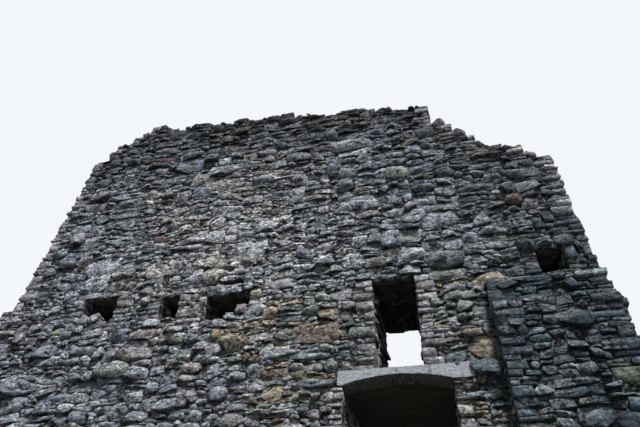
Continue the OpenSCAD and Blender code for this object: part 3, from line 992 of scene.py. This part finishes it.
class Masonry:
    """The faces of the keep, and the stones that are laid on them in turn."""

    def __init__(self):
        self.chance = Chance(bpy.context.scene.keep_stones.seed)
        self.faces = wall_faces()
        self.tops = {key: np.where(face.mask.any(0), face.rows - face.mask[::-1].argmax(0), 0)
                     for key, face in self.faces.items()}

    def weathering(self, key, run, rise):
        """How much light a stone keeps: least under the broken wall head."""
        if key[0] == 2:
            return np.full(len(run), 0.62)
        top = self.tops[key][columns_of(run)] * CELL
        under = top - rise
        shade = 1 - 0.48 * np.clip(1 - under / 1.5, 0, 1) - 0.37 * np.clip(1 - under / 3.6, 0, 1)
        return np.where(top > LEDGE_Z + 0.3, shade, 1.0)

    def tints(self, key, cells, palette):
        """Colours of laid stones by palette, place and weather."""
        run = middles_of(cells, 0)
        rise = (cells[:, 1] + cells[:, 3] / 2) * CELL + self.faces[key].base
        tints = self.chance.tints(palette, len(cells))
        if key == FRONT:
            dark = self.chance.tints("slate", len(cells))
            warm = self.chance.tints("door", len(cells))
            beside = (run > -0.4 + 0.4 * np.sin(3 * rise)) & (rise < BESIDE_DOOR_Z)
            tints = np.where(beside[:, None], warm, tints)
            tints = np.where(near_pier(run, rise)[:, None], dark, tints)
            middle = mid_wall(run, rise)
            tone = 0.775 + 0.535 * middle - 0.02 * np.clip((run - 2.2) / 1.2, 0, 1) * (rise > 6.5)
            tone = tone + 0.12 * np.clip((-run - 1.5) / 2, 0, 1) * (rise < 6.5) + 0.06 * beside
            cold = (1 - middle) * np.where(beside, 0.2, 1.0)
            tints = tints * tone[:, None] * (1 + cold[:, None] * np.array([-0.1, 0.008, 0.115]))
        return tints * self.weathering(key, run, rise)[:, None]


@functools.cache
def masonry():
    """The masonry of this run, made when first asked for."""
    return Masonry()


def middles_of(cells, index):
    """Places of laid stones' middles, across the grid or from front to back."""
    return (cells[:, index] + cells[:, index + 2] / 2) * CELL - REACH


def near_pier(run, rise):
    """Where the front shows the later, darker masonry of its right corner."""
    edge = PIER_LEFT + 0.12 * np.sin(2.3 * rise)
    return (run > edge) & (rise < LEDGE_Z + 0.15 + 0.5 * np.sin(3.0 * run))


def mid_wall(run, rise):
    """1 where the front's mortar is whole and its stones are palest, towards 0 away from there."""
    return np.exp(-((run + 1.0) / 2.8) ** 2 - ((rise - 8.0) / 2.4) ** 2)


def quoin_end(face, column, sign, rows, shortest, longest, chance):
    """Takes the cells of one end of a corner stone from a face, and returns how many across."""
    strip = face.mask[rows].all(0)
    strip = strip[column::-1] if sign > 0 else strip[column:]
    room = len(strip) if strip.all() else int(strip.argmin())
    size = int(round(chance.spread(shortest, longest) / CELL))
    size = size if size < 0.8 * room else max(3, int(0.45 * room))
    size = min(size, max(room, 3))
    start = column - size + 1 if sign > 0 else column
    face.mask[rows, max(start, 0):start + size] = False
    return size


class KEEP_OT_quoins(bpy.types.Operator):
    """Stack the corner stones of the walls and of every opening"""
    bl_idname = "keep.quoins"
    bl_label = "Quoins"

    def execute(self, context):
        work = masonry()
        chance = work.chance
        middles, halves, dark = [], [], []
        sides, fronts = ([(key, face) for key, face in sorted(work.faces.items())
                          if key[0] == axis] for axis in (0, 1))
        for ((_, sign_x, at_x), side), ((_, sign_y, at_y), front) in itertools.product(
                sides, fronts):
            in_y = column_of(at_y - sign_y * CELL / 2)
            in_x = column_of(at_x - sign_x * CELL / 2)
            for low, end in runs(side.mask[:, in_y] & front.mask[:, in_x], int(0.24 / CELL)):
                sizes = (0.18, 0.42), (0.1, 0.22)
                while low < end:
                    tall = int(round(np.clip(chance.around(0.1, 0.42), 0.05, 0.24) / CELL))
                    if end - low - tall < 3:
                        tall = end - low
                    tall = min(tall, 14)
                    rows = slice(low, low + tall)
                    length = quoin_end(front, in_x, sign_x, rows, *sizes[0], chance) * CELL
                    depth = quoin_end(side, in_y, sign_y, rows, *sizes[1], chance) * CELL
                    out_x, out_y = chance.spread(0.0, 0.06, 2)
                    if abs(at_x) < WALL_RIGHT - 0.001:
                        out_x *= 0.25
                    z = (low + tall / 2) * CELL
                    middles.append((at_x + sign_x * (out_x - length) / 2,
                                    at_y + sign_y * (out_y - depth) / 2, z))
                    halves.append(((length + out_x) / 2 - 0.006, (depth + out_y) / 2 - 0.006,
                                   tall * CELL / 2 - chance.spread(0.004, 0.009)))
                    dark.append((at_x > PIER_LEFT - 0.2 and at_y < WALL_FRONT + 0.3
                                 and z < LEDGE_Z + 0.3))
                    sizes = sizes[::-1]
                    low += tall
        middles, halves, dark = np.array(middles), np.array(halves), np.array(dark)
        tints = chance.tints("field", len(middles)) * 0.95
        tints = np.where(dark[:, None], chance.tints("slate", len(middles)), tints)
        high = np.clip((middles[:, 2] - 9.0) / 3.0, 0, 1)
        stones = Stones()
        blocks(stones, middles, halves, tints * (1 - 0.4 * high)[:, None], 0.22, 0.22, chance)
        stones.piece("quoin_stones", stone_finish("quoin_stone", 0.02, 0.3, 0.0))
        return {"FINISHED"}


class KEEP_OT_front_stones(bpy.types.Operator):
    """Lay the rubble of the front wall"""
    bl_idname = "keep.front_stones"
    bl_label = "Front wall stones"

    def execute(self, context):
        settings = context.scene.keep_stones
        work = masonry()
        chance = work.chance
        face = work.faces[FRONT]

        def sizes(left, low):
            run = left * CELL - REACH
            rise = low * CELL
            patchy = math.exp(0.24 * math.sin(2.1 * run + 1.3 * rise)
                              + 0.22 * math.sin(4.3 * run - 3.7 * rise + 1.0))
            height = settings.face_height * patchy * (0.92 + 0.03 * max(rise - 4.0, 0.0))
            if near_pier(run, rise):
                return height, 1.9
            if run > -0.5 and rise < BESIDE_DOOR_Z:
                return 0.8 * height, 2.2
            return height, 2.1

        cells = split_slates(lay(face.mask, chance, sizes), 0.24, chance)
        tints = work.tints(FRONT, cells, "field")
        material = stone_finish("front_stone", 0.03, 0.55, 0.0, 0.7)
        level = cells[:, 1] * CELL
        for name, low, high, build, pinned in (("front_stones_base", 0.0, 3.9, PLAIN, 0.4),
                                               ("front_stones_middle", 3.9, 7.4, FINE, 0.85),
                                               ("front_stones_head", 7.4, 13.0, EVEN, 0.85)):
            part = (level >= low) & (level < high)
            stones = Stones()
            proud = settings.proud * (1.05 - 0.42 * mid_wall(middles_of(cells[part], 0),
                                                             level[part]))
            plates(stones, face, cells[part], tints[part], proud, settings.joint, chance, build)
            chips(stones, face, cells[part], tints[part], pinned, chance)
            stones.piece(name, material)
        return {"FINISHED"}


class KEEP_OT_outer_stones(bpy.types.Operator):
    """Lay the rubble of the left, right and back walls"""
    bl_idname = "keep.outer_stones"
    bl_label = "Other outer stones"

    def execute(self, context):
        settings = context.scene.keep_stones
        work = masonry()
        chance = work.chance
        material = stone_finish("outer_stone", 0.04, 0.3, 0.0, 0.6)
        for name, key in (("left_stones", (0, -1, -round(WALL_RIGHT, 3))),
                          ("right_stones", (0, 1, round(WALL_RIGHT, 3))),
                          ("back_stones", (1, 1, -round(WALL_FRONT, 3)))):
            face = work.faces[key]
            cells = lay(face.mask, chance, lambda left, low: (settings.plain_height, 2.1))
            cells = split_slates(cells, 0.2, chance)
            stones = Stones()
            plates(stones, face, cells, work.tints(key, cells, "field"), 0.85 * settings.proud,
                   settings.joint, chance)
            stones.piece(name, material)
            face.mask[:] = False
        work.faces[FRONT].mask[:] = False
        return {"FINISHED"}


class KEEP_OT_inner_stones(bpy.types.Operator):
    """Lay the rubble of every other upright face: the room, the openings, piers and stumps"""
    bl_idname = "keep.inner_stones"
    bl_label = "Room, reveal and pier stones"

    def execute(self, context):
        settings = context.scene.keep_stones
        work = masonry()
        chance = work.chance
        room, reveals, piers = Stones(), Stones(), Stones()
        for key, face in sorted(work.faces.items()):
            axis, sign, offset = key
            area = face.area()
            if axis == 2 or area < 0.2:
                continue
            # The short risers in the broken wall heads are left to their rubble
            riser = not face.mask[:int((LEDGE_Z + 0.1) / CELL)].any() and area < 3.2
            if riser and abs(offset) < WALL_RIGHT:
                continue
            outside = (abs(offset) > WALL_RIGHT - 0.001
                       or (axis == 1 and abs(offset) > OUTER_SIDE))
            shown = outside and axis == 1 and sign < 0
            large = area > ROOM_AREA
            tall = settings.plain_height * (1.65 if large else 1.0)
            tall = settings.face_height if outside else tall
            cells = lay(face.mask, chance, lambda left, low: (tall, 1.9))
            palette = "slate" if outside and (axis == 1 or offset > 0) else "field"
            tints = work.tints(key, cells, palette)
            if shown:
                cells = split_slates(cells, 0.4, chance)
                tints = work.tints(key, cells, palette)
            plates(piers if outside else room if large else reveals, face, cells, tints,
                   settings.proud * (1.0 if shown else 0.9 if outside or large else 0.5),
                   settings.joint, chance, EVEN if shown else PLAIN)
            face.mask[:] = False
        room.piece("room_stones", stone_finish("room_stone", 0.02, 0.0, 0.0, 0.6))
        reveals.piece("reveal_stones", stone_finish("reveal_stone", 0.0, 0.0, 0.25))
        piers.piece("pier_stones", stone_finish("pier_stone", 0.0, 0.8, 0.0), "pier_rubble")
        return {"FINISHED"}


class KEEP_OT_slabs(bpy.types.Operator):
    """Lay the slabs of the ledge, the sills and the heads of the openings"""
    bl_idname = "keep.slabs"
    bl_label = "Ledge, sill and head slabs"

    def execute(self, context):
        settings = context.scene.keep_stones
        finish = context.scene.keep_finish
        work = masonry()
        chance = work.chance
        slabs = Stones()
        for (axis, sign, offset), face in sorted(work.faces.items()):
            skip = offset < 0.1 or offset > LEDGE_Z + 0.01 or abs(offset - FLOOR_Z) < 0.2
            if axis != 2 or skip or face.area() < 0.04:
                continue
            depth, proud, build = (0.32, 0.55, SPLIT) if sign > 0 else (0.2, 1.1, PLAIN)
            cells = lay(face.mask, chance, lambda left, low: (depth, 1.8))
            tints = chance.tints("field", len(cells)) * 0.6
            beyond = abs(middles_of(cells, 1)) > 0.02 - WALL_FRONT
            tints = np.where(beyond[:, None], chance.tints("slate", len(cells)), tints)
            # Slabs that look down take the dark slab colour: film and painted shade of the soffits
            if sign < 0:
                tints = np.array(finish.slab)[None] * chance.around(1.0, 0.2, (len(cells), 1))
            plates(slabs, face, cells, tints, settings.proud * proud, settings.joint, chance,
                   build)
        slabs.piece("ledge_and_sill_slabs", slab_finish("rough_slab", 0.35), "slab_stone")
        return {"FINISHED"}


def step_corners(height, chance):
    """Middles and half sizes of the stones that lean in the corners of the stepped heads."""
    middles, halves = [], []
    for axis, sign in itertools.product((0, 1), (-1, 1)):
        edge = sign * (WALL_RIGHT - 0.1)
        place = int((edge + REACH) / CELL)
        line = height[place] if axis == 0 else height[:, place]
        for at in np.flatnonzero(abs(np.diff(line)) > 0.1):
            low, high = sorted((line[at], line[at + 1]))
            if low < LEDGE_Z + 0.05:
                continue
            side = -1 if line[at] < line[at + 1] else 1
            long, deep = chance.spread(0.11, 0.2), chance.spread(0.1, 0.16)
            tall = np.clip((high - low) * chance.spread(0.36, 0.56), 0.05, 0.2)
            run = (at + 1) * CELL - REACH + side * long * 0.65
            turned = slice(None, None, -1 if axis else 1)
            middles.append((*(run, edge)[turned], low + tall * 0.8))
            halves.append((*(long, deep)[turned], tall))
    return np.array(middles), np.array(halves)


class KEEP_OT_wall_heads(bpy.types.Operator):
    """Heap the loose rubble of the broken wall heads"""
    bl_idname = "keep.wall_heads"
    bl_label = "Wall head rubble"

    def execute(self, context):
        work = masonry()
        chance = work.chance
        height = np.zeros((ACROSS, ACROSS))
        for (axis, sign, offset), face in work.faces.items():
            if axis == 2 and sign > 0 and offset > 0.1:
                height = np.where(face.mask, np.maximum(height, offset), height)
        height[abs(height - FLOOR_Z) < 0.2] = 0.0
        spots = []
        pitch = 0.22
        for i, j in itertools.product(range(int(2 * REACH / pitch)), repeat=2):
            x = -REACH + (i + chance.spread(0.1, 0.9)) * pitch
            y = -REACH + (j + chance.spread(0.1, 0.9)) * pitch
            column = int((x + REACH) / CELL)
            row = int((y + REACH) / CELL)
            if max(column, row) < ACROSS and height[row, column] > LEDGE_Z + 0.05:
                spots.append((x, y, height[row, column]))
        middles = np.array(spots)
        count = len(spots)
        halves = np.stack([chance.around(size, 0.3, count) for size in (0.125, 0.1, 0.065)], 1)
        halves = np.minimum(halves, (0.24, 0.2, 0.13))
        middles[:, 2] -= np.maximum(halves[:, 2] - chance.spread(0.02, 0.1, count), 0.0)
        middles, halves = (np.concatenate(pair)
                           for pair in zip((middles, halves), step_corners(height, chance)))
        limit = (WALL_RIGHT + 0.03, -WALL_FRONT + 0.03) - halves[:, :2]
        middles[:, :2] = np.clip(middles[:, :2], -limit, limit)
        stones = Stones()
        rocks(stones, middles, halves, chance.tints("field", len(middles)) * 0.42, chance)
        stones.piece("wall_head_rubble", stone_finish("head_stone", 0.0, 0.0, 0.6),
                     "weathered_rubble")
        return {"FINISHED"}


def worn_copy(node, name, rim, uneven, material, tint, proud=0.0):
    """Replaces a cut stone by one with rubbed edges and a slightly uneven face.

    A stone that stands proud of the wall is roughly hewn behind its face.
    """
    chance = masonry().chance
    mesh = bmesh.new()
    mesh.from_mesh(NODES[node].data)
    bmesh.ops.remove_doubles(mesh, verts=mesh.verts, dist=0.0005)
    bmesh.ops.dissolve_limit(mesh, angle_limit=0.005, verts=mesh.verts, edges=mesh.edges)
    for vert in mesh.verts:
        if vert.co.y < WALL_FRONT + 0.001:
            vert.co.y -= proud
    sharp = [e for e in mesh.edges if len(e.link_faces) == 2 and e.calc_face_angle() > 0.5]
    bmesh.ops.bevel(mesh, geom=sharp, offset=rim, segments=2, profile=0.6, affect="EDGES")
    long = [e for e in mesh.edges if e.calc_length() > 0.12]
    bmesh.ops.subdivide_edges(mesh, edges=long, cuts=3, use_grid_fill=True)
    top = max(vert.co.z for vert in mesh.verts)
    bmesh.ops.triangulate(mesh, faces=mesh.faces)
    for vert in mesh.verts:
        vert.co += Vector(chance.spread(-uneven, uneven, 3))
        if proud and vert.co.y > WALL_FRONT + 0.02 and vert.co.z < top - 0.06:
            vert.co.z += chance.spread(-0.012, 0.004)
    data = bpy.data.meshes.new(name)
    mesh.to_mesh(data)
    mesh.free()
    under = np.array(linear(98, 100, 91))
    shades = np.ones((len(data.loops), 4), np.float32)
    # The faces' own order changes from run to run, that of their corners' numbers doesn't
    for face in sorted(data.polygons, key=lambda face: sorted(face.vertices)):
        hewn = proud and (face.normal.y > -0.8 or face.center.y > WALL_FRONT + 0.05)
        shade = under * chance.spread(0.35, 1.4) if hewn else tint
        shades[list(face.loop_indices), :3] = shade
    data.color_attributes.new("tint", "FLOAT_COLOR", "CORNER").data.foreach_set(
        "color", shades.ravel())
    made = keep_piece(name, data, material)
    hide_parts(node)


class KEEP_OT_doorway(bpy.types.Operator):
    """Cut the dressed stones and roof slabs of the doorway"""
    bl_idname = "keep.doorway"
    bl_label = "Doorway stones"

    def execute(self, context):
        finish = context.scene.keep_finish
        dressed = dressed_finish()
        for side in ("left", "middle_left", "middle_right", "right"):
            worn_copy("door_lintel_" + side, "dressed_lintel_" + side, 0.009, 0.003,
                      dressed, finish.dressed, 0.035)
        worn_copy("door_sill", "worn_door_sill", 0.015, 0.002, dressed,
                  linear(104, 106, 106))
        # The passage roof takes the dark slab colour: film and painted shade of its soffit
        worn_copy("door_roof_slabs", "split_roof_slabs", 0.01, 0.004,
                  slab_finish("roof_slab", 0.5), finish.slab)
        return {"FINISHED"}


class KEEP_OT_floor(bpy.types.Operator):
    """Lay the worn flags of the floor"""
    bl_idname = "keep.floor"
    bl_label = "Floor flags"

    def execute(self, context):
        worn_copy("floor_flags", "worn_floor_flags", 0.012, 0.002,
                  slab_finish("floor_flag", 0.4), linear(112, 112, 108))
        return {"FINISHED"}


class KEEP_OT_mortar(bpy.types.Operator):
    """Give the wall masses behind the stones their mortar, and the vault its stones"""
    bl_idname = "keep.mortar"
    bl_label = "Mortar and vault"

    def execute(self, context):
        mortar = mortar_finish("mortar", tuple(context.scene.keep_finish.mortar))
        dark = mortar_finish("pier_mortar", linear(66, 74, 78))
        vault = vault_finish()
        for name, node in NODES.items():
            material = dark if "pier" in name.split("_")[1:] or "curtain" in name else mortar
            material = vault if name.startswith("vault") else material
            node.data.materials.clear()
            node.data.materials.append(material)
        return {"FINISHED"}


class KEEP_OT_stage(bpy.types.Operator):
    """Set up the floor, the light and the camera"""
    bl_idname = "keep.stage"
    bl_label = "Stage"

    def execute(self, context):
        stage = context.scene.keep_stage
        mesh = bpy.data.meshes.new("floor")
        wide = 60.0
        mesh.from_pydata([(x * wide, y * wide, -0.002)
                          for x, y in ((-1, -1), (1, -1), (1, 1), (-1, 1))], [], [(0, 1, 2, 3)])
        floor = link("floor", mesh)
        pale = Shader(bpy.data.materials.new("stage_floor"))
        shown = pale.blend(pale.seen_directly(), (0.12, 0.12, 0.12), (0.415, 0.425, 0.44))
        surface = pale.node("ShaderNodeBsdfPrincipled", {}, {
            "Base Color": shown, "Roughness": 0.95})
        pale.node("ShaderNodeOutputMaterial", {}, {"Surface": surface})
        mesh.materials.append(pale.owner)

        sky = Shader(bpy.data.worlds.new("sky"))
        context.scene.world = sky.owner
        light, seen = (sky.node("ShaderNodeBackground", {}, {
            "Color": (*colour, 1.0), "Strength": strength})
            for colour, strength in (((0.93, 0.96, 1.0), stage.sky), ((0.90, 0.92, 0.95), 1.0)))
        both = sky.node("ShaderNodeMixShader", {}, {
            "Fac": sky.seen_directly(), 1: light, 2: seen})
        sky.node("ShaderNodeOutputWorld", {}, {"Surface": both})

        for name, strength, way in (("soft_lamp", stage.sun, (-0.34, 0.46, -0.84)),
                                    ("back_lamp", stage.back, (0.5, -0.6, -0.62))):
            lamp = bpy.data.lights.new(name, "SUN")
            lamp.energy = strength
            lamp.angle = math.radians(15)
            link(name, lamp).rotation_euler = Vector(way).to_track_quat("-Z", "Y").to_euler()

        lens = bpy.data.cameras.new("camera")
        lens.sensor_width = 36.0
        lens.lens = stage.lens
        lens.clip_end = 400.0
        camera = link("camera", lens)
        spot = Vector((stage.camera_x, WALL_FRONT - stage.camera_away, stage.eye_height))
        right_up_back = Matrix(((0.9709, 0.2345, 0.0479), (0.1343, -0.6997, 0.7017),
                                (0.1981, -0.6749, -0.7108)))
        camera.matrix_world = Matrix.Translation(spot) @ right_up_back.transposed().to_4x4()
        context.scene.camera = camera
        context.scene.view_settings.view_transform = "Standard"
        return {"FINISHED"}


OPERATORS = (KEEP_OT_mortar, KEEP_OT_quoins, KEEP_OT_front_stones, KEEP_OT_outer_stones,
             KEEP_OT_inner_stones, KEEP_OT_slabs, KEEP_OT_wall_heads, KEEP_OT_doorway,
             KEEP_OT_floor, KEEP_OT_stage)

GROUPS = {"keep_stones": Keep_Stones, "keep_finish": Keep_Finish, "keep_stage": Keep_Stage}


class KEEP_PT_masonry(bpy.types.Panel):
    """Sizes, colours and steps of the keep's masonry"""
    bl_idname = "KEEP_PT_masonry"
    bl_label = "Keep masonry"
    bl_space_type = "VIEW_3D"
    bl_region_type = "UI"
    bl_category = "Keep"

    def draw(self, context):
        for name, group in GROUPS.items():
            box = self.layout.box()
            for setting in group.__annotations__:
                box.prop(getattr(context.scene, name), setting)
        for operator in OPERATORS:
            self.layout.operator(operator.bl_idname)


def register():
    """Adds the settings, steps and panel."""
    for name, group in GROUPS.items():
        bpy.utils.register_class(group)
        setattr(bpy.types.Scene, name, bpy.props.PointerProperty(type=group))
    for item in (*OPERATORS, KEEP_PT_masonry):
        bpy.utils.register_class(item)


def unregister():
    """Takes the settings, steps and panel away again."""
    for item in (KEEP_PT_masonry, *reversed(OPERATORS)):
        bpy.utils.unregister_class(item)
    for name, group in GROUPS.items():
        delattr(bpy.types.Scene, name)
        bpy.utils.unregister_class(group)


def main():
    """Builds the keep's looks step by step."""
    register()
    for operator in OPERATORS:
        group, name = operator.bl_idname.split(".")
        getattr(getattr(bpy.ops, group), name)()


if __name__ == "__main__":
    main()
